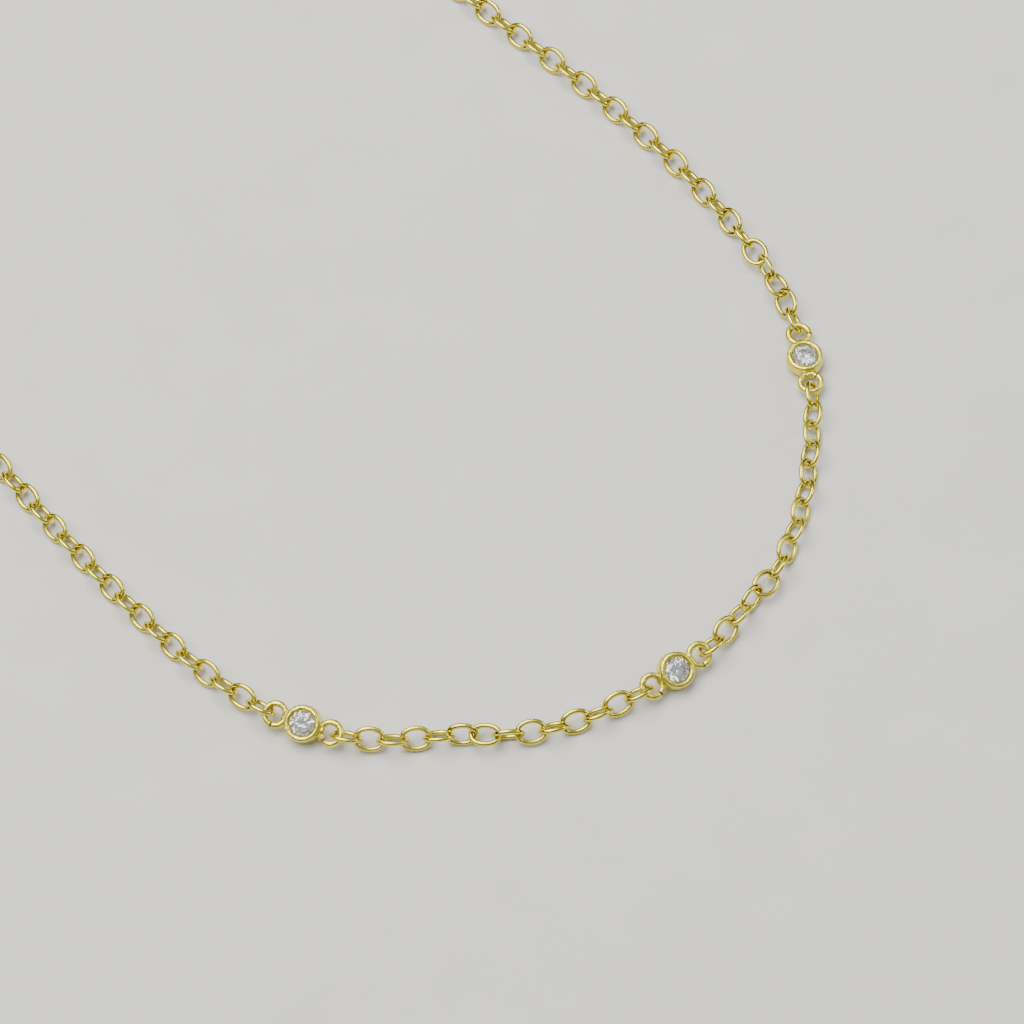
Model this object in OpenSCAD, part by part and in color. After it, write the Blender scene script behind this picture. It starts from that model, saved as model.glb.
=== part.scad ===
// Station necklace: a fine oval cable chain with three round stones in bezels, lying flat in a long loop.
// Millimetres. +Z is up from the table, +Y runs from the middle stone to the clasp.

/* [Chain] */
// Outside length of one oval link
link_length = 3.2; // [2.8:0.05:4.5]
// Outside width of one oval link
link_width = 2.5; // [2.2:0.05:3.2]
// Thickness of the link wire
link_wire = 0.45; // [0.3:0.01:0.48]
// Room between the wires of two links that hook through each other
link_gap = 0.12; // [0.1:0.01:0.3]
// Roll of every second link out of the level, the others lean as far the other way
link_lean = 43; // [40:1:46]
// Roll of the links that hook into the right stone's rings and into the clasp
end_lean = 58; // [55:1:62]
// Room between a link and the ring that it hooks through
ring_gap = 0.3; // [0.24:0.01:0.35]
// Room between the chain and the table
floor_gap = 0.03; // [0.01:0.01:0.2]

/* [Front of the necklace] */
// Links between the left and the middle stone
left_front_links = 14; // [8:1:24]
// Links between the middle and the right stone
right_front_links = 15; // [8:1:24]
// How far the left stone tips outward about the line of the chain
left_tilt = 27; // [15:1:40]
// How far the middle stone tips outward about the line of the chain
middle_tilt = 27; // [15:1:40]

/* [Stones] */
// Diameter of a cut stone over its girdle
stone_d = 2.5; // [2:0.1:3]
// Diameter of the flat table, as a share of the stone
table_share = 0.56; // [0.5:0.01:0.65]
// Slope of the large facets above the girdle
crown_slope = 34; // [28:1:38]
// Slope of the large facets below the girdle
pavilion_slope = 41; // [36:1:43]
// Thickness of the girdle where the large facets meet it
girdle = 0.06; // [0.03:0.01:0.15]
// Room between a stone and the metal round it
stone_gap = 0.05; // [0.03:0.01:0.1]

/* [Bezels] */
// Height of a bezel cup
bezel_height = 1.75; // [1.6:0.05:2.2]
// Greatest thickness of the cup wall outside the stone
bezel_wall = 0.53; // [0.45:0.01:0.8]
// Radius of the round side of the cup
side_round = 0.8; // [0.7:0.05:1]
// Height of the middle of the round side
side_height = 0.78; // [0.7:0.01:0.95]
// Thickness of the rolled lip that holds the stone
lip_thickness = 0.5; // [0.4:0.02:0.6]
// Overlap of the lip over the edge of the stone
lip_overlap = 0.05; // [0.03:0.01:0.12]
// Thickness of the closed back
back_thickness = 0.18; // [0.15:0.01:0.3]
// Width of the ledge under the girdle
ledge = 0.26; // [0.15:0.01:0.35]

/* [Eyes] */
// Thickness of the wire of the small open rings on the cups
eye_wire = 0.56; // [0.45:0.01:0.58]
// Inside diameter of the small rings
eye_hole = 1.45; // [1.4:0.05:1.8]
// Height of the rings on the cup
eye_height = 1; // [0.95:0.05:1.1]
// Depth that a ring is sunk and soldered into the side of the cup
eye_seat = 0.35; // [0.25:0.01:0.42]
// Width of the cut where a ring was bent shut
eye_cut = 0.12; // [0.06:0.01:0.3]

/* [Clasp] */
// Outside diameter of the clasp ring
clasp_d = 6; // [5:0.25:9]
// Thickness of the clasp ring
clasp_wire = 0.9; // [0.8:0.05:1]

/* [Hidden] */
ring_steps = 48;
wire_steps = 24;

// Points that the middle line of the chain runs through, seen from above, anticlockwise from the clasp
ROUTE = [
    [0, 81.2], [-11.5, 78.9], [-21.5, 72.8], [-28.5, 63], [-32, 50.4],
    [-33.2, 35.4], [-33.7, 20.4], [-34.2, 5.4], [-34.8, -9.6], [-35.7, -23.1],
    [-36.3, -33.1], [-36.5, -42.1], [-36.2, -50.1], [-35, -57.6], [-32.5, -64.1],
    [-28.5, -68.9], [-23.5, -72.8], [-19, -76.9], [-13.5, -79.9], [-8.5, -81.5],
    [-3.5, -82.5], [1.5, -82.6], [6.5, -81.7], [11.5, -80.8], [17.5, -77.8],
    [23, -73.6], [28, -68.6], [31.5, -63.1], [34, -56.6], [35.5, -49.1],
    [36.3, -41.1], [36.3, -33.1], [35.9, -25.1], [35.1, -16.1], [34.3, -4.1],
    [33.7, 9.9], [33.2, 23.9], [32.7, 37.9], [31.5, 50.4], [28.5, 63],
    [21.5, 73], [11.5, 78.9]
];
// Which of the points carries the middle stone
MIDDLE_POINT = 20;
span_steps = 16;

// The smooth closed line through the points, its length so far at each step, and x and y by length
function route(i) = ROUTE[(i + len(ROUTE)) % len(ROUTE)];
function span_point(a, b, c, d, t) =
    b + (c - a) * t / 2 + (2 * a - 5 * b + 4 * c - d) * t * t / 2 + (3 * b - a - 3 * c + d) * t * t * t / 2;
LINE = [
    for (i = [0:len(ROUTE)], j = [0:span_steps - 1])
        span_point(route(i - 1), route(i), route(i + 1), route(i + 2), j / span_steps)
];
RUN = [for (i = 0, s = 0; i < len(LINE) - 1; s = s + norm(LINE[i + 1] - LINE[i]), i = i + 1) s];
X_BY_RUN = [for (i = [0:len(RUN) - 1]) [RUN[i], LINE[i].x]];
Y_BY_RUN = [for (i = [0:len(RUN) - 1]) [RUN[i], LINE[i].y]];
loop_length = RUN[len(ROUTE) * span_steps];
function wrapped(s) = (s + loop_length) % loop_length;
function place(s) = [lookup(wrapped(s), X_BY_RUN), lookup(wrapped(s), Y_BY_RUN)];
function heading(v) = atan2(v.y, v.x);

// Links: the bend radius of the wire at the ends, the step along the chain and the height at rest
link_bend = (link_width - link_wire) / 2;
link_straight = link_length - link_width;
pitch = link_length - 2 * link_wire - link_gap;
function rest_height(roll) = floor_gap + link_wire / 2 + link_bend * abs(sin(roll));

// Rings on the cups: the middle radius, how far out they sit, and where the first link hooks in
cup_d = stone_d + 2 * stone_gap + 2 * bezel_wall;
eye_bend = (eye_hole + eye_wire) / 2;
eye_out = cup_d / 2 - eye_seat + eye_bend + eye_wire / 2;
function reach(bend, wire) = bend - wire / 2 - ring_gap + link_length / 2 - link_wire;
station_reach = eye_out + reach(eye_bend, eye_wire);

// Clasp ring: its bend radius, and the small ring soldered to it on the left
clasp_bend = (clasp_d - clasp_wire) / 2;
clasp_eye_out = clasp_d / 2 - eye_seat + eye_bend + eye_wire / 2;
clasp_height = rest_height(end_lean);
clasp_slope = asin((clasp_height - clasp_wire / 2) / clasp_bend);
clasp_left_reach = clasp_eye_out + reach(eye_bend, eye_wire);
clasp_right_reach = reach(clasp_bend, clasp_wire);

// Lengths along the line from the clasp, through the stones, and back to the clasp
middle_at = RUN[MIDDLE_POINT * span_steps];
left_at = middle_at - 2 * station_reach - (left_front_links - 1) * pitch;
right_at = middle_at + 2 * station_reach + (right_front_links - 1) * pitch;

// Height of the ring line of a cup that lies on the table, flat or tipped over on its round side
side_out = cup_d / 2 - side_round;
foot = side_out + sqrt(max(0, side_round * side_round - side_height * side_height));
function height_on_foot(tilt) = foot * sin(tilt) + eye_height * cos(tilt);
function height_on_side(tilt) = side_round + side_out * sin(tilt) + (eye_height - side_height) * cos(tilt);
function cup_height(tilt) = side_round * cos(tilt) < side_height
    ? max(height_on_foot(tilt), height_on_side(tilt))
    : height_on_foot(tilt);

// One row for each cup: length along the line, tilt, and the cut of its back and its front ring
CUPS = [
    [left_at, left_tilt, -95, -115],
    [middle_at, middle_tilt, -75, -100],
    [right_at, 0, -50, -100]
];

// Both chain ends lean to one side at the clasp, which tips to the other
left_start = clasp_left_reach;
left_end = left_at - station_reach;
left_links = ceil((left_end - left_start) / pitch) + 1;
right_start = right_at + station_reach;
right_end = loop_length - clasp_right_reach;
right_links = ceil((right_end - right_start) / pitch) + 1;
clasp_side = right_links % 2 == 0 ? 1 : -1;
left_turn = clasp_side * (left_links % 2 == 0 ? -1 : 1) == 1 ? 90 : 0;
left_lift = cup_height(left_tilt) - rest_height(link_lean);
middle_lift = cup_height(middle_tilt) - rest_height(link_lean);

// How much further than the others an end link leans, the second one for a link after a quarter turn:
// that link lies the other way, so its lean counts down from the upright
extra_lean = end_lean - link_lean;
extra_lean_turned = 90 - end_lean - link_lean;

// One row for each length of chain: first and last link along the line, number of links, side that the
// first link leans to, links at which a twist starts and ends, its turn, how much higher than the chain
// the pieces at the start and the end hold it, and the extra lean of its first and its last link
LENGTHS = [
    [left_start, left_end, left_links, clasp_side, 1, 5.5, left_turn,
        0, left_lift, extra_lean, 0],
    [left_at + station_reach, middle_at - station_reach, left_front_links, -1, 4, 8.5, 90,
        left_lift, middle_lift, 0, 0],
    [middle_at + station_reach, right_at - station_reach, right_front_links, -1, 2, 5.5, 90,
        middle_lift, 0, 0, extra_lean_turned],
    [right_start, right_end, right_links, 1, 1, 5.5, -90,
        0, 0, extra_lean, extra_lean_turned]
];
// Over this many links at its ends a length rises to a raised cup
lift_links = 4;

function limited(x, low, high) = max(low, min(high, x));
function side_of(c, k) = c[3] * (k % 2 == 0 ? 1 : -1);
function lean_of(c, k) = link_lean + (k == 0 ? c[9] : 0) + (k == c[2] - 1 ? c[10] : 0);
function roll_of(c, k) = side_of(c, k) * lean_of(c, k) + c[6] * limited((k - c[4]) / (c[5] - c[4]), 0, 1);
function run_of(c, k) = c[0] + k * (c[1] - c[0]) / (c[2] - 1);
function bare_height(c, k) = rest_height(roll_of(c, limited(k, 0, c[2] - 1)));
function cleared_height(c, k) = max(bare_height(c, k - 1), bare_height(c, k), bare_height(c, k + 1));
function fade(k) = limited(1 - (k + 0.5) / lift_links, 0, 1);
function height_of(c, k) =
    (cleared_height(c, k - 1) + cleared_height(c, k) + cleared_height(c, k + 1)) / 3
    + c[7] * fade(k) + c[8] * fade(c[2] - 1 - k);
function spot(c, k) = [place(run_of(c, k)).x, place(run_of(c, k)).y, height_of(c, k)];

module half_bend(x, from) {
    translate([x, 0, 0])
        rotate_extrude(angle = 180, start = from, $fn = ring_steps)
            translate([link_bend, 0])
                circle(d = link_wire, $fn = wire_steps);
}

module link() {
    half_bend(link_straight / 2, -90);
    half_bend(-link_straight / 2, 90);
    for (y = [-link_bend, link_bend])
        translate([-link_straight / 2, y, 0])
            rotate([0, 90, 0])
                cylinder(d = link_wire, h = link_straight, $fn = wire_steps);
}

// One length of chain, each link turned along the line, pitched to its rise and rolled to its side
module chain(c) {
    for (k = [0:c[2] - 1]) {
        along = spot(c, k + 1) - spot(c, k - 1);
        translate(spot(c, k))
            rotate([0, -atan2(along.z, norm([along.x, along.y])), heading(along)])
                rotate([roll_of(c, k), 0, 0])
                    link();
    }
}

module chain_left() {
    color("#d7c868")
        chain(LENGTHS[0]);
}

module chain_front_left() {
    color("#d7c868")
        chain(LENGTHS[1]);
}

module chain_front_right() {
    color("#d7c868")
        chain(LENGTHS[2]);
}

module chain_right() {
    color("#d7c868")
        chain(LENGTHS[3]);
}

// Puts a cup or its stone on the line: the cup's ring line at its height, its face tipped outward
module at_cup(cup) {
    ends = [place(cup[0] - station_reach), place(cup[0] + station_reach)];
    middle = (ends[0] + ends[1] + 2 * place(cup[0])) / 4;
    translate([middle.x, middle.y, cup_height(cup[1])])
        rotate([cup[1], 0, heading(ends[1] - ends[0])])
            translate([0, 0, -eye_height])
                children();
}

// Heights in a cup: the lip's top carries the rim, the girdle sits under the lip
crown_height = stone_d / 2 * (1 - table_share) * tan(crown_slope);
lip_inside = stone_d / 2 - lip_overlap;
lip_middle = lip_inside + lip_thickness / 2;
girdle_top = bezel_height - crown_height;
girdle_bottom = girdle_top - girdle;
seat_d = stone_d + 2 * stone_gap;
lip_under = girdle_top + lip_overlap * tan(crown_slope) + stone_gap;
ledge_drop = ledge * tan(pavilion_slope);

module cup_profile() {
    difference() {
        union() {
            intersection() {
                translate([side_out, side_height])
                    circle(r = side_round, $fn = ring_steps);
                square([cup_d, bezel_height]);
            }
            square([side_out, side_height + side_round / 2]);
            translate([lip_middle, bezel_height - lip_thickness / 2])
                circle(d = lip_thickness, $fn = wire_steps);
        }
        polygon([
            [0, back_thickness],
            [seat_d / 2 - ledge, back_thickness],
            [seat_d / 2 - ledge, girdle_bottom - stone_gap - ledge_drop],
            [seat_d / 2, girdle_bottom - stone_gap],
            [seat_d / 2, girdle_top],
            [lip_inside, lip_under],
            [lip_inside, 2 * bezel_height],
            [0, 2 * bezel_height]
        ]);
    }
}

// A small wire ring, bent shut but not soldered at its cut
module open_ring(cut_at) {
    half_cut = asin(eye_cut / 2 / eye_bend);
    rotate_extrude(angle = 360 - 2 * half_cut, start = cut_at + half_cut, $fn = ring_steps)
        translate([eye_bend, 0])
            circle(d = eye_wire, $fn = wire_steps);
}

module bezel(cup) {
    color("#dccf72")
        at_cup(cup) {
            rotate_extrude($fn = ring_steps)
                cup_profile();
            translate([-eye_out, 0, eye_height])
                open_ring(cup[2]);
            translate([eye_out, 0, eye_height])
                open_ring(cup[3]);
        }
}

module bezel_left() {
    bezel(CUPS[0]);
}

module bezel_middle() {
    bezel(CUPS[1]);
}

module bezel_right() {
    bezel(CUPS[2]);
}

// A round brilliant cut. Rings of corners from the top: table, crown, girdle top and bottom, pavilion, tip
stone_r = stone_d / 2;
crown_share = 0.76;
pavilion_share = 0.25;
crown_corner_up = girdle + stone_r * (1 - crown_share * cos(22.5)) * tan(crown_slope);
pavilion_corner_down = stone_r * (1 - pavilion_share * cos(22.5)) * tan(pavilion_slope);
pavilion_depth = stone_r * tan(pavilion_slope);
function corners(count, r, z, first) =
    [for (i = [0:count - 1]) [r * cos(first + i * 360 / count), r * sin(first + i * 360 / count), z]];
STONE_CORNERS = concat(
    corners(8, table_share * stone_r, girdle + crown_height, 0),
    corners(8, crown_share * stone_r, crown_corner_up, 22.5),
    corners(16, stone_r, girdle, 0),
    corners(16, stone_r, 0, 0),
    corners(8, pavilion_share * stone_r, -pavilion_corner_down, 22.5),
    [[0, 0, -pavilion_depth]]
);
function table(i) = i % 8;
function crown(i) = 8 + (i + 8) % 8;
function upper(i) = 16 + (i + 16) % 16;
function lower(i) = 32 + (i + 16) % 16;
function pavilion(i) = 48 + (i + 8) % 8;
tip = 56;
STONE_FACETS = concat(
    [[for (i = [7:-1:0]) table(i)]],
    [for (i = [0:7]) [table(i), table(i + 1), crown(i)]],
    [for (i = [0:7]) [table(i), crown(i), upper(2 * i), crown(i - 1)]],
    [for (i = [0:7]) [crown(i), upper(2 * i + 1), upper(2 * i)]],
    [for (i = [0:7]) [crown(i), upper(2 * i + 2), upper(2 * i + 1)]],
    [for (i = [0:15]) [upper(i), upper(i + 1), lower(i + 1), lower(i)]],
    [for (i = [0:7]) [pavilion(i), lower(2 * i), lower(2 * i + 1)]],
    [for (i = [0:7]) [pavilion(i), lower(2 * i + 1), lower(2 * i + 2)]],
    [for (i = [0:7]) [tip, pavilion(i - 1), lower(2 * i), pavilion(i)]]
);

module stone(cup) {
    color("#e6ebee")
        at_cup(cup)
            translate([0, 0, girdle_bottom])
                polyhedron(points = STONE_CORNERS, faces = STONE_FACETS);
}

module stone_left() {
    stone(CUPS[0]);
}

module stone_middle() {
    stone(CUPS[1]);
}

module stone_right() {
    stone(CUPS[2]);
}

// A plain closed ring with a small ring soldered to its left side, lying on its lower edge
module clasp() {
    color("#d2c064")
        translate([place(0).x, place(0).y, clasp_height])
            rotate([-clasp_side * clasp_slope, 0, 180]) {
                rotate_extrude($fn = ring_steps)
                    translate([clasp_bend, 0])
                        circle(d = clasp_wire, $fn = wire_steps);
                translate([clasp_eye_out, 0, 0])
                    rotate_extrude($fn = ring_steps)
                        translate([eye_bend, 0])
                            circle(d = eye_wire, $fn = wire_steps);
            }
}

chain_left();
chain_front_left();
chain_front_right();
chain_right();
bezel_left();
bezel_middle();
bezel_right();
stone_left();
stone_middle();
stone_right();
clasp();
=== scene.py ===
"""A station necklace: a fine gold-plated cable chain with three clear stones in bezel cups, in a loop."""

import math
import random

import bpy
import numpy as np
from mathutils import Matrix, Vector


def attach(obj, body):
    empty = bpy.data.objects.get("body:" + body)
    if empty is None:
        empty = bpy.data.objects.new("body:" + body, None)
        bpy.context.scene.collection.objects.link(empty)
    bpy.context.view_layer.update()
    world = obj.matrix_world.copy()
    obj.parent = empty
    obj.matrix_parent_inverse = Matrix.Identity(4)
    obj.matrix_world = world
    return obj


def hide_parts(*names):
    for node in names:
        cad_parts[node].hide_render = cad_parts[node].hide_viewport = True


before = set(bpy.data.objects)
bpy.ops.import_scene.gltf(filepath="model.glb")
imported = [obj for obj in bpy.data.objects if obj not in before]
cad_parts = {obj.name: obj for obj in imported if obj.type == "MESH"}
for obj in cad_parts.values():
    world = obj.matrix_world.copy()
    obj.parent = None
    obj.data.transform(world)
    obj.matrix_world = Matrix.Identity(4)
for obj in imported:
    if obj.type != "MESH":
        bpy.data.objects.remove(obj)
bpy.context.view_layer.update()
MM = 0.001

# Camera, floor and lights.
# The necklace lies on a pale board on a studio table, seen from above its front, between the middle stone
# and the right one. A pale tent and two softboxes light it. The tent's dim foot draws the gold's dark lines.
LOOKED_AT = Vector((-2.88, -58.97, 1.0)) * MM
CAMERA_TURN = math.radians(-43)
CAMERA_HEIGHT = math.radians(60.4)
CAMERA_AWAY = 548 * MM
SENSOR = 36
LENS = 200.4

toward_camera = Vector((
    math.sin(CAMERA_TURN) * math.cos(CAMERA_HEIGHT),
    -math.cos(CAMERA_TURN) * math.cos(CAMERA_HEIGHT),
    math.sin(CAMERA_HEIGHT),
))
camera_data = bpy.data.cameras.new("camera")
camera_data.sensor_width = SENSOR
camera_data.lens = LENS
camera_data.clip_start = 0.01
camera_data.clip_end = 10
camera = bpy.data.objects.new("camera", camera_data)
bpy.context.scene.collection.objects.link(camera)
camera.location = LOOKED_AT + toward_camera * CAMERA_AWAY
camera.rotation_mode = "QUATERNION"
camera.rotation_quaternion = (-toward_camera).to_track_quat("-Z", "Y")
bpy.context.scene.camera = camera


def paint(hex_colour):
    """An sRGB hex colour as linear red, green, blue and alpha."""
    parts = [int(hex_colour[i:i + 2], 16) / 255 for i in (1, 3, 5)]
    return (*[c / 12.92 if c <= 0.04045 else ((c + 0.055) / 1.055) ** 2.4 for c in parts], 1)


def add_node(material, kind, settings, inputs):
    """A node with its settings, and its inputs set to values or joined to other nodes' outputs."""
    node = material.node_tree.nodes.new(kind)
    for name, value in settings.items():
        setattr(node, name, value)
    for name, value in inputs.items():
        if isinstance(value, bpy.types.NodeSocket):
            material.node_tree.links.new(value, node.inputs[name])
        else:
            node.inputs[name].default_value = value
    return node


def new_material(name):
    """An empty node material and its output node."""
    material = bpy.data.materials.new(name)
    material.use_nodes = True
    material.node_tree.nodes.clear()
    output = material.node_tree.nodes.new("ShaderNodeOutputMaterial")
    return material, output


def leave_all():
    """Goes back to object mode with nothing selected."""
    if bpy.context.object and bpy.context.object.mode != "OBJECT":
        bpy.ops.object.mode_set(mode="OBJECT")
    bpy.ops.object.select_all(action="DESELECT")


# The board is matt card: pale grey-white with a faint mottle and a very shallow tooth. The tooth is drawn a
# few times coarser than a real card's, so that it shows
BOARD_SIZE = 3.0
BOARD_GRID = 12
CARD_MOTTLE = 9 * MM
CARD_TOOTH = 0.5 * MM
CARD_TOOTH_DEPTH = 0.02 * MM

leave_all()
bpy.ops.mesh.primitive_grid_add(x_subdivisions=BOARD_GRID, y_subdivisions=BOARD_GRID, size=BOARD_SIZE)
board = bpy.context.object
board.name = "board"
card, card_out = new_material("matt_card")
card_place = add_node(card, "ShaderNodeTexCoord", {}, {}).outputs["Object"]
mottle = add_node(card, "ShaderNodeTexNoise", {}, {
    "Vector": card_place, "Scale": 1 / CARD_MOTTLE, "Detail": 3,
})
card_colour = add_node(card, "ShaderNodeMix", {"data_type": "RGBA"}, {
    "Factor": mottle.outputs["Fac"], "A": paint("#d9d8d4"), "B": paint("#e2e1de"),
})
tooth = add_node(card, "ShaderNodeTexNoise", {}, {
    "Vector": card_place, "Scale": 1 / CARD_TOOTH, "Detail": 4,
})
card_bump = add_node(card, "ShaderNodeBump", {}, {
    "Height": tooth.outputs["Fac"], "Strength": 0.15, "Distance": CARD_TOOTH_DEPTH,
})
card_face = add_node(card, "ShaderNodeBsdfPrincipled", {}, {
    "Base Color": card_colour.outputs["Result"], "Roughness": 0.85, "Normal": card_bump.outputs["Normal"],
})
card.node_tree.links.new(card_face.outputs["BSDF"], card_out.inputs["Surface"])
board.data.materials.append(card)

# The room is a pale light tent, bright overhead and dim where it meets the table. The two heights are the
# sines of the angles above the table between which it brightens
TENT_DIM_HEIGHT = 0.25
TENT_BRIGHT_HEIGHT = 0.8
TENT_STRENGTH = 0.5

tent = bpy.data.worlds.new("light_tent")
tent.use_nodes = True
tent_way = add_node(tent, "ShaderNodeTexCoord", {}, {}).outputs["Generated"]
tent_height = add_node(tent, "ShaderNodeSeparateXYZ", {}, {"Vector": tent_way})
tent_rise = add_node(tent, "ShaderNodeMapRange", {"interpolation_type": "SMOOTHSTEP"}, {
    "Value": tent_height.outputs["Z"], "From Min": TENT_DIM_HEIGHT, "From Max": TENT_BRIGHT_HEIGHT,
    "To Min": 0.0, "To Max": 1.0,
})
tent_colour = add_node(tent, "ShaderNodeMix", {"data_type": "RGBA"}, {
    "Factor": tent_rise.outputs["Result"], "A": paint("#0e0e0f"), "B": paint("#f6f7f8"),
})
tent_light = tent.node_tree.nodes["Background"]
tent_light.inputs["Strength"].default_value = TENT_STRENGTH
tent.node_tree.links.new(tent_colour.outputs["Result"], tent_light.inputs["Color"])
bpy.context.scene.world = tent

# One row for each softbox: its name, its place from the point looked at and its width and depth, all in
# metres, and its watts and its colour
SOFTBOXES = [
    ("key_softbox", (-0.08, 0.24, 0.66), 0.8, 0.6, 9.5, "#fffdf8"),
    ("fill_softbox", (0.55, -0.35, 0.45), 0.3, 0.3, 1.5, "#f4f8ff"),
]
for name, place, width, depth, watts, colour in SOFTBOXES:
    lamp_data = bpy.data.lights.new(name, "AREA")
    lamp_data.shape = "RECTANGLE"
    lamp_data.size = width
    lamp_data.size_y = depth
    lamp_data.energy = watts
    lamp_data.color = paint(colour)[:3]
    lamp = bpy.data.objects.new(name, lamp_data)
    bpy.context.scene.collection.objects.link(lamp)
    lamp.location = LOOKED_AT + Vector(place)
    lamp.rotation_mode = "QUATERNION"
    lamp.rotation_quaternion = Vector(place).to_track_quat("Z", "Y")


# Cable chain.
# Each link is a short oval of round brass wire, wound, cut, hooked through its neighbour and soldered shut.
# The finished chain is tumbled bright and thinly plated with pale gold. Inside each link's ends, where link
# bears on link, a dark brown is painted: partly rubbed plate, partly painted shade between the links.
LINK_WIRE = 0.5 * MM
LINK_LENGTH = 3.24 * MM
LINK_WIDTH = 2.55 * MM
LINK_END_BEND = 0.93 * MM
WELD = 0.002 * MM
CHAINS = ["chain_left", "chain_front_left", "chain_front_right", "chain_right"]

# A link is repeated 174 times, so its wire has few sides and few steps round each bend
LINK_END_STEPS = 6
LINK_SIDE_STEPS = 4
LINK_SIDES = 6

# Tumbling leaves the plate a little cloudy from link to link and scratched all over. The scratches are drawn
# coarser than the real ones, so that they show
PLATE_CLOUD = 1.7 * MM
PLATE_GRAIN = 0.12 * MM
SCRATCH_DEPTH = 0.002 * MM
HAZE_SPREAD = 0.1
POLISH_SPREAD = 0.14


def gold_plate(name, pale, deep, rub_and_shade_colour, lump, lump_depth, gloss):
    """Thin gold plate over polished brass: a bright pale yellow mirror, a little cloudy from tumbling."""
    material, output = new_material(name)
    place = add_node(material, "ShaderNodeTexCoord", {}, {}).outputs["Object"]
    cloud = add_node(material, "ShaderNodeTexNoise", {}, {
        "Vector": place, "Scale": 1 / PLATE_CLOUD, "Detail": 3,
    })
    tone = add_node(material, "ShaderNodeMix", {"data_type": "RGBA"}, {
        "Factor": cloud.outputs["Fac"], "A": paint(pale), "B": paint(deep),
    })
    # Where a piece's attribute of rub and shade is set, the colour turns dark brown: partly rubbed plate,
    # partly painted shade where parts meet.
    rub_and_painted_shade = add_node(material, "ShaderNodeAttribute", {"attribute_name": "rub_and_painted_shade"}, {})
    grain = add_node(material, "ShaderNodeTexNoise", {}, {
        "Vector": place, "Scale": 1 / PLATE_GRAIN, "Detail": 4,
    })
    patchy = add_node(material, "ShaderNodeMapRange", {}, {
        "Value": grain.outputs["Fac"], "From Min": 0.3, "From Max": 0.6, "To Min": 0.3, "To Max": 0.9,
    })
    rub_and_shade_patch = add_node(material, "ShaderNodeMath", {"operation": "MULTIPLY", "use_clamp": True}, {
        0: rub_and_painted_shade.outputs["Fac"], 1: patchy.outputs["Result"],
    })
    colour = add_node(material, "ShaderNodeMix", {"data_type": "RGBA"}, {
        "Factor": rub_and_shade_patch.outputs["Value"], "A": tone.outputs["Result"], "B": paint(rub_and_shade_colour),
    })
    polish = add_node(material, "ShaderNodeAttribute", {"attribute_name": "polish"}, {})
    haze = add_node(material, "ShaderNodeMapRange", {}, {
        "Value": grain.outputs["Fac"], "From Min": 0.3, "From Max": 0.7,
        "To Min": gloss, "To Max": gloss + HAZE_SPREAD,
    })
    sheen = add_node(material, "ShaderNodeMath", {"operation": "MULTIPLY_ADD"}, {
        0: polish.outputs["Fac"], 1: POLISH_SPREAD, 2: haze.outputs["Result"],
    })
    lumps = add_node(material, "ShaderNodeTexNoise", {}, {"Vector": place, "Scale": 1 / lump, "Detail": 3})
    soft_bump = add_node(material, "ShaderNodeBump", {}, {
        "Height": lumps.outputs["Fac"], "Strength": 1, "Distance": lump_depth,
    })
    scratches = add_node(material, "ShaderNodeBump", {}, {
        "Height": grain.outputs["Fac"], "Strength": 1, "Distance": SCRATCH_DEPTH,
        "Normal": soft_bump.outputs["Normal"],
    })
    face = add_node(material, "ShaderNodeBsdfPrincipled", {}, {
        "Base Color": colour.outputs["Result"], "Metallic": 1, "Roughness": sheen.outputs["Value"],
        "Normal": scratches.outputs["Normal"],
    })
    material.node_tree.links.new(face.outputs["BSDF"], output.inputs["Surface"])
    return material


# Drawn wire is smooth and bright, with only a slight waviness left from winding
chain_plate = gold_plate(
    "gold_plated_chain_wire", "#f3e86a", "#e1d142", "#96560e",
    lump=0.5 * MM, lump_depth=0.012 * MM, gloss=0.12,
)

# The wire's section is spun in turn about the middles of the oval's four bends. Spin turns left-handed
half_length = (LINK_LENGTH - LINK_WIRE) / 2
half_width = (LINK_WIDTH - LINK_WIRE) / 2
end_middle = half_length - LINK_END_BEND
side_bend = (end_middle**2 + half_width**2 - LINK_END_BEND**2) / (2 * (half_width - LINK_END_BEND))
side_middle_out = side_bend - half_width
end_turn = 2 * math.atan2(side_middle_out, end_middle)
side_turn = math.pi - end_turn

leave_all()
bpy.ops.mesh.primitive_circle_add(
    vertices=LINK_SIDES, radius=LINK_WIRE / 2, rotation=(math.pi / 2, 0, -end_turn / 2),
    location=(
        end_middle + LINK_END_BEND * math.cos(end_turn / 2), -LINK_END_BEND * math.sin(end_turn / 2), 0,
    ),
)
link = bpy.context.object
bpy.ops.object.transform_apply(location=True, rotation=True)
bpy.ops.object.mode_set(mode="EDIT")
bpy.ops.mesh.select_all(action="SELECT")
for centre, turn, steps in [
    ((end_middle, 0, 0), end_turn, LINK_END_STEPS),
    ((0, -side_middle_out, 0), side_turn, LINK_SIDE_STEPS),
    ((-end_middle, 0, 0), end_turn, LINK_END_STEPS),
    ((0, side_middle_out, 0), side_turn, LINK_SIDE_STEPS),
]:
    bpy.ops.mesh.spin(steps=steps, angle=turn, center=centre, axis=(0, 0, -1))
bpy.ops.mesh.select_all(action="SELECT")
bpy.ops.mesh.remove_doubles(threshold=WELD)
bpy.ops.mesh.normals_make_consistent(inside=False)
bpy.ops.object.mode_set(mode="OBJECT")
bpy.ops.object.shade_smooth()
link.data.materials.append(chain_plate)

# Inside each end of a link, where its neighbour hangs, the colour is painted dark brown: partly rubbed
# plate, partly painted shade between the links. No two links are polished alike
rub_and_painted_shade = link.data.attributes.new("rub_and_painted_shade", "FLOAT", "POINT")
for vertex in link.data.vertices:
    beyond = abs(vertex.co.x) - end_middle
    inward = (LINK_END_BEND - math.hypot(beyond, vertex.co.y)) / (LINK_WIRE / 2)
    rub_and_painted_shade.data[vertex.index].value = max(0, inward) * min(1, max(0, 2 * beyond / LINK_END_BEND))
link.data.attributes.new("polish", "FLOAT", "POINT")
polishes = random.Random(7)


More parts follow.
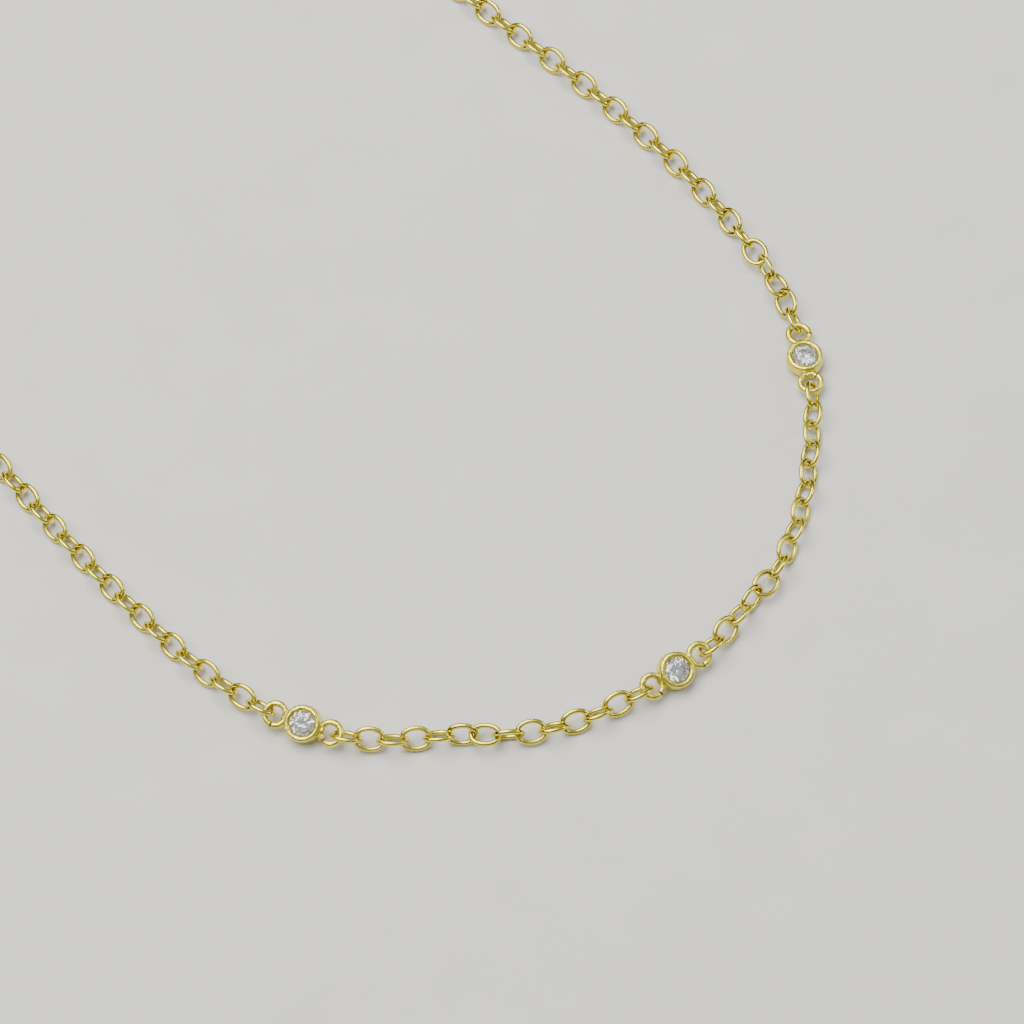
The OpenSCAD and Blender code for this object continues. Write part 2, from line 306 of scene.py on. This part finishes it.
def loose_parts(node_name):
    """The separate solids of a node, each as an object of its own, made from a copy."""
    leave_all()
    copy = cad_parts[node_name].copy()
    copy.data = copy.data.copy()
    copy.parent = None
    bpy.context.scene.collection.objects.link(copy)
    bpy.context.view_layer.objects.active = copy
    copy.select_set(True)
    bpy.ops.object.mode_set(mode="EDIT")
    bpy.ops.mesh.select_all(action="SELECT")
    bpy.ops.mesh.remove_doubles(threshold=WELD / 2)
    bpy.ops.mesh.separate(type="LOOSE")
    bpy.ops.object.mode_set(mode="OBJECT")
    return list(bpy.context.selected_objects)


def middle_and_ways(part):
    """A solid's middle, and its long, its wide and its flat direction."""
    corners = np.array([vertex.co[:] for vertex in part.data.vertices])
    triangles = corners[np.array([face.vertices[:] for face in part.data.polygons])]
    sides = (triangles[:, 1] - triangles[:, 0], triangles[:, 2] - triangles[:, 0])
    areas = np.linalg.norm(np.cross(*sides), axis=1)
    middles = triangles.mean(1)
    middle = (middles * areas[:, None]).sum(0) / areas.sum()
    spread = (middles - middle) * np.sqrt(areas)[:, None]
    ways = np.linalg.eigh(spread.T @ spread)[1]
    return Vector(middle), Vector(ways[:, 2]), Vector(ways[:, 1]), Vector(ways[:, 0])


def seat(middle, along, up):
    """The matrix that lays a piece made at the origin at its middle, its X along and its Z up."""
    across = up.cross(along)
    return Matrix.Translation(middle) @ Matrix((along, across, up)).transposed().to_4x4()


def join_copies(name, parts):
    """Joins objects into one piece of that name."""
    leave_all()
    for part in parts:
        part.select_set(True)
    bpy.context.view_layer.objects.active = parts[0]
    bpy.ops.object.join()
    parts[0].name = name
    return parts[0]


def remove(parts):
    """Takes objects that are no longer needed out of the scene."""
    for part in parts:
        bpy.data.objects.remove(part)


# A link takes the place of each solid of a chain, and lies as that solid lies
for node_name in CHAINS:
    solids = loose_parts(node_name)
    links = []
    for solid in solids:
        middle, along, _, up = middle_and_ways(solid)
        copy = link.copy()
        copy.data = link.data.copy()
        bpy.context.scene.collection.objects.link(copy)
        copy.data.transform(seat(middle, along, up))
        polish = polishes.random()
        for value in copy.data.attributes["polish"].data:
            value.value = polish
        links.append(copy)
    remove(solids)
    chain = join_copies(node_name + "_links", links)
    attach(chain, "root")
    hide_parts(node_name)
remove([link])


# Bezel cups.
# Each cup is cast in brass with a closed back, and its rim is rolled over the stone's edge as a raised lip.
# Two small rings of thicker wire are bent shut and soldered to its side, in line with the chain.
STONE_RADIUS = 1.25 * MM
CUP_RADIUS = 1.83 * MM
CUP_HEIGHT = 1.75 * MM
SIDE_ROUND = 0.8 * MM
SIDE_HEIGHT = 0.78 * MM
SIDE_STEPS = 16
LIP_THICKNESS = 0.56 * MM
LIP_INSIDE = 1.2 * MM
LIP_STEPS = 14
GROOVE_ROUND = 1.3 * MM
GROOVE_STEPS = 5
STONE_ROOM = 0.05 * MM
GIRDLE_TOP = 1.379 * MM
GIRDLE_BOTTOM = 1.319 * MM
LEDGE = 0.26 * MM
PAVILION_SLOPE = math.radians(41)
CROWN_SLOPE = math.radians(34)
BACK_THICKNESS = 0.18 * MM
CUP_STEPS = 96
EYE_WIRE = 0.62 * MM
EYE_HOLE = 1.44 * MM
EYE_HEIGHT = 1.0 * MM
EYE_OUT = 2.79 * MM
EYE_STEPS = 40
EYE_SIDES = 20
EYE_END_ROUND = 0.07 * MM
EYE_END_ANGLE = math.radians(60)
EYE_END_PAINTED_SHADE = 1.6
EYE_END_PAINTED_SHADE_FADE = 0.05 * MM
SOLDER_SIZE = Vector((0.36, 0.6, 0.3)) * MM
SOLDER_OUT = 0.02 * MM
SOLDER_DROP = 0.04 * MM
CASTING_LUMP = 0.6 * MM
CASTING_DEPTH = 0.09 * MM
CASTING_ON_WALL = 0.6
LIP_FADE = 0.15 * MM
FOOT_FADE = 0.2 * MM
HAIR = 0.01 * MM
SMOOTH_BELOW = math.radians(40)

# One row for each cup: its name, then for its back and its front ring where the cut is in degrees, how wide
# it is in millimetres, and how many millimetres the wire's end springs up at it
CUPS = [
    ("left", (-95, 0.07, 0.05), (-115, 0.26, -0.2)),
    ("middle", (-75, 0.07, -0.1), (-100, 0.08, 0.08)),
    ("right", (-50, 0.09, 0.12), (-100, 0.09, 0.08)),
]

# Tumbling leaves a casting softly uneven under its plate, which makes the cups duller than the wire
cup_plate = gold_plate(
    "gold_plated_casting", "#f4e96e", "#e3d447", "#96560e",
    lump=0.4 * MM, lump_depth=0.07 * MM, gloss=0.26,
)


def start_outline(name):
    """A new piece with one point at the origin, which the outline is drawn from."""
    leave_all()
    bpy.ops.mesh.primitive_plane_add(size=MM, location=(0, 0, 0))
    piece = bpy.context.object
    piece.name = name
    bpy.ops.object.mode_set(mode="EDIT")
    bpy.ops.mesh.select_mode(type="VERT")
    bpy.ops.mesh.select_all(action="SELECT")
    bpy.ops.mesh.merge(type="CENTER")
    bpy.ops.mesh.select_all(action="SELECT")
    return piece


def draw_to(here, there):
    """Draws a straight line of the outline from one point to the next."""
    step = Vector(there) - Vector(here)
    bpy.ops.mesh.extrude_region_move(TRANSFORM_OT_translate={"value": step})
    return there


def draw_arc(centre, here, degrees, steps):
    """Draws a round stretch of the outline about a centre, from X towards Z. Spin turns left-handed."""
    bpy.ops.mesh.spin(steps=steps, angle=math.radians(degrees), center=centre, axis=(0, 1, 0))
    turned = Matrix.Rotation(-math.radians(degrees), 3, "Y") @ (Vector(here) - Vector(centre))
    return tuple(Vector(centre) + turned)


def angle_of(centre, point):
    """The direction from a centre to a point of the outline, in degrees from X towards Z."""
    return math.degrees(math.atan2(point[2] - centre[2], point[0] - centre[0]))


# The groove under the lip is an arc that runs smoothly from the round side into the round lip
side_middle = (CUP_RADIUS - SIDE_ROUND, 0, SIDE_HEIGHT)
lip_round = LIP_THICKNESS / 2
lip_middle = (LIP_INSIDE + lip_round, 0, CUP_HEIGHT - lip_round)
foot = (side_middle[0] + math.sqrt(SIDE_ROUND**2 - SIDE_HEIGHT**2), 0, 0)
between = Vector(lip_middle) - Vector(side_middle)
from_side = SIDE_ROUND + GROOVE_ROUND
from_lip = lip_round + GROOVE_ROUND
groove_along = (from_side**2 - from_lip**2 + between.length_squared) / (2 * between.length)
groove_out = math.sqrt(from_side**2 - groove_along**2)
groove_middle = tuple(
    Vector(side_middle) + between.normalized() * groove_along
    + Vector((between.z, 0, -between.x)).normalized() * groove_out
)
wall_turn = angle_of(side_middle, groove_middle) - angle_of(side_middle, foot)
groove_turn = angle_of(groove_middle, lip_middle) - angle_of(groove_middle, side_middle) - 360
lip_turn = 180 - angle_of(lip_middle, groove_middle)
seat_radius = STONE_RADIUS + STONE_ROOM
lip_under = GIRDLE_TOP + (STONE_RADIUS - LIP_INSIDE) * math.tan(CROWN_SLOPE) + STONE_ROOM
ledge_top = GIRDLE_BOTTOM - STONE_ROOM
ledge_low = ledge_top - LEDGE * math.tan(PAVILION_SLOPE)

# The outline of the cup's wall is drawn from the middle of the back, up the side, over the lip and down
# inside, and is spun once round
cup = start_outline("cup")
here = draw_to((0, 0, 0), foot)
here = draw_arc(side_middle, here, wall_turn, SIDE_STEPS)
here = draw_arc(groove_middle, here, groove_turn, GROOVE_STEPS)
here = draw_arc(lip_middle, here, lip_turn, LIP_STEPS)
for corner in [
    (LIP_INSIDE, 0, lip_under),
    (seat_radius, 0, GIRDLE_TOP),
    (seat_radius, 0, ledge_top),
    (seat_radius - LEDGE, 0, ledge_low),
    (seat_radius - LEDGE, 0, BACK_THICKNESS),
    (0, 0, BACK_THICKNESS),
]:
    here = draw_to(here, corner)
bpy.ops.mesh.select_all(action="SELECT")
bpy.ops.mesh.spin(steps=CUP_STEPS, angle=math.tau, center=(0, 0, 0), axis=(0, 0, 1))
bpy.ops.mesh.select_all(action="SELECT")
bpy.ops.mesh.remove_doubles(threshold=WELD)
bpy.ops.mesh.normals_make_consistent(inside=False)
bpy.ops.object.mode_set(mode="OBJECT")


def open_ring(side, cut_at, cut_width, spring):
    """A small ring of wire bent shut beside the cup, its two ends rounded and not quite in line."""
    bend = (EYE_HOLE + EYE_WIRE) / 2
    half_cut = math.asin(cut_width * MM / 2 / bend)
    span = math.tau - 2 * half_cut
    leave_all()
    bpy.ops.mesh.primitive_circle_add(
        vertices=EYE_SIDES, radius=EYE_WIRE / 2, location=(bend, 0, 0), rotation=(math.pi / 2, 0, 0),
    )
    ring = bpy.context.object
    bpy.ops.object.transform_apply(location=True, rotation=True)
    bpy.ops.object.mode_set(mode="EDIT")
    bpy.ops.mesh.select_all(action="SELECT")
    bpy.ops.mesh.spin(steps=EYE_STEPS, angle=span, center=(0, 0, 0), axis=(0, 0, -1))
    bpy.ops.mesh.select_all(action="SELECT")
    bpy.ops.mesh.fill_holes(sides=0)
    bpy.ops.mesh.select_all(action="SELECT")
    bpy.ops.mesh.normals_make_consistent(inside=False)
    bpy.ops.object.mode_set(mode="OBJECT")
    soften = ring.modifiers.new("soften", "BEVEL")
    soften.width = EYE_END_ROUND
    soften.segments = 3
    soften.limit_method = "ANGLE"
    soften.angle_limit = EYE_END_ANGLE
    bpy.ops.object.modifier_apply(modifier="soften")
    # The ring's two cut ends are painted dark brown. This is painted shade that draws the cut between them
    # as a dark line.
    rub_and_painted_shade = ring.data.attributes.new("rub_and_painted_shade", "FLOAT", "POINT")
    for vertex in ring.data.vertices:
        turn = math.atan2(vertex.co.y, vertex.co.x) - span / 2
        turn = (turn + math.pi) % math.tau - math.pi
        from_end = (span / 2 - abs(turn)) * bend
        rub_and_painted_shade.data[vertex.index].value = max(0, EYE_END_PAINTED_SHADE - from_end / EYE_END_PAINTED_SHADE_FADE)
        vertex.co.z += spring * MM * turn / span
    ring.data.transform(Matrix.Rotation(math.radians(cut_at) + half_cut, 4, "Z"))
    ring.data.transform(Matrix.Translation((side * EYE_OUT, 0, EYE_HEIGHT)))
    return ring


def solder(side):
    """The solder that has run into the corner between a ring and the cup."""
    leave_all()
    bpy.ops.mesh.primitive_uv_sphere_add(
        segments=24, ring_count=16, radius=1, scale=SOLDER_SIZE,
        location=(side * (CUP_RADIUS + SOLDER_OUT), 0, EYE_HEIGHT - SOLDER_DROP),
    )
    bead = bpy.context.object
    bpy.ops.object.transform_apply(location=True, rotation=True, scale=True)
    return bead


def outside_weight(corner):
    """How far the casting's unevenness reaches a point: not the cup's back or inside, nor the lip's edge."""
    radius = math.hypot(corner.x, corner.y)
    if radius < seat_radius + HAIR and corner.z < lip_under + HAIR:
        return 0
    lip_share = min(1, max(0, radius - LIP_INSIDE) / LIP_FADE)
    foot_share = min(1, corner.z / FOOT_FADE)
    return CASTING_ON_WALL * lip_share * foot_share


def weigh_outside(piece, weight_of):
    """Marks how uneven each point of a piece is."""
    group = piece.vertex_groups.new(name="outside")
    for vertex in piece.data.vertices:
        group.add([vertex.index], weight_of(vertex.co), "REPLACE")


def facing(stone):
    """The direction that a stone's table faces, and the tip of its foot."""
    middle, _, _, up = middle_and_ways(stone)
    heights = [(vertex.co - middle).dot(up) for vertex in stone.data.vertices]
    if max(heights) > -min(heights):
        up = -up
    return up, min(stone.data.vertices, key=lambda vertex: vertex.co.dot(up)).co.copy()


# Each cup is set under its stone, with its rings, its solder and its own patch of the casting's unevenness
weigh_outside(cup, outside_weight)
casting = bpy.data.textures.new("casting", "CLOUDS")
casting.noise_scale = CASTING_LUMP
casting.noise_depth = 1

for name, back_cut, front_cut in CUPS:
    up, tip = facing(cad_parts["stone_" + name])
    foot_middle = tip - up * (GIRDLE_BOTTOM - STONE_RADIUS * math.tan(PAVILION_SLOPE))
    along = middle_and_ways(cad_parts["bezel_" + name])[1]
    along = (along - up * along.dot(up)).normalized()
    if along.dot(Vector((-foot_middle.y, foot_middle.x, 0))) < 0:
        along = -along
    wall = cup.copy()
    wall.data = cup.data.copy()
    bpy.context.scene.collection.objects.link(wall)
    extras = [open_ring(-1, *back_cut), open_ring(1, *front_cut), solder(-1), solder(1)]
    for extra in extras:
        weigh_outside(extra, lambda corner: 1)
    bezel = join_copies("bezel_" + name + "_cup", [wall, *extras])
    bezel.data.transform(seat(foot_middle, along, up))
    uneven = bezel.modifiers.new("uneven", "DISPLACE")
    uneven.texture = casting
    uneven.texture_coords = "LOCAL"
    uneven.strength = CASTING_DEPTH
    uneven.mid_level = 0.5
    uneven.vertex_group = "outside"
    leave_all()
    bpy.context.view_layer.objects.active = bezel
    bezel.select_set(True)
    bpy.ops.object.modifier_apply(modifier="uneven")
    bpy.ops.object.shade_smooth_by_angle(angle=SMOOTH_BELOW)
    bezel.data.materials.clear()
    bezel.data.materials.append(cup_plate)
    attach(bezel, "root")
    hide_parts("bezel_" + name)
remove([cup])


# Cut stones.
# Round brilliants of clear cubic zirconia, sawn, ground and polished to flat facets, held under the lips.
# Handling leaves a thin film on them and wears the polish. The wear is drawn coarser, so that it shows.
STONE_FILM = 0.6 * MM
STONE_WEAR = 0.08 * MM
STONE_WEAR_DEPTH = 0.0003 * MM
ZIRCONIA_IOR = 2.15

stone_glass, stone_out = new_material("cut_zirconia")
stone_place = add_node(stone_glass, "ShaderNodeTexCoord", {}, {}).outputs["Object"]
film = add_node(stone_glass, "ShaderNodeTexNoise", {}, {
    "Vector": stone_place, "Scale": 1 / STONE_FILM, "Detail": 3,
})
stone_colour = add_node(stone_glass, "ShaderNodeMix", {"data_type": "RGBA"}, {
    "Factor": film.outputs["Fac"], "A": paint("#fcfdff"), "B": paint("#f0f3f8"),
})
stone_haze = add_node(stone_glass, "ShaderNodeMapRange", {}, {
    "Value": film.outputs["Fac"], "From Min": 0.35, "From Max": 0.7, "To Min": 0.0, "To Max": 0.012,
})
stone_clear = add_node(stone_glass, "ShaderNodeMapRange", {}, {
    "Value": film.outputs["Fac"], "From Min": 0.35, "From Max": 0.7, "To Min": 0.92, "To Max": 0.82,
})
worn = add_node(stone_glass, "ShaderNodeTexNoise", {}, {
    "Vector": stone_place, "Scale": 1 / STONE_WEAR, "Detail": 2,
})
stone_bump = add_node(stone_glass, "ShaderNodeBump", {}, {
    "Height": worn.outputs["Fac"], "Strength": 1, "Distance": STONE_WEAR_DEPTH,
})
stone_face = add_node(stone_glass, "ShaderNodeBsdfPrincipled", {}, {
    "Base Color": stone_colour.outputs["Result"], "Roughness": stone_haze.outputs["Result"],
    "IOR": ZIRCONIA_IOR, "Transmission Weight": stone_clear.outputs["Result"],
    "Normal": stone_bump.outputs["Normal"],
})
stone_glass.node_tree.links.new(stone_face.outputs["BSDF"], stone_out.inputs["Surface"])
for name, _, _ in CUPS:
    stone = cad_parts["stone_" + name]
    stone.data.materials.clear()
    stone.data.materials.append(stone_glass)


# Clasp.
# A plain closed ring of thick brass wire with a small ring soldered to it for the chain's end. It is plated
# as the chain is, and being thicker it takes a more even polish.
clasp_plate = gold_plate(
    "gold_plated_ring", "#f3e86a", "#e1d142", "#96560e",
    lump=0.8 * MM, lump_depth=0.01 * MM, gloss=0.16,
)
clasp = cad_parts["clasp"]
clasp.data.materials.clear()
clasp.data.materials.append(clasp_plate)
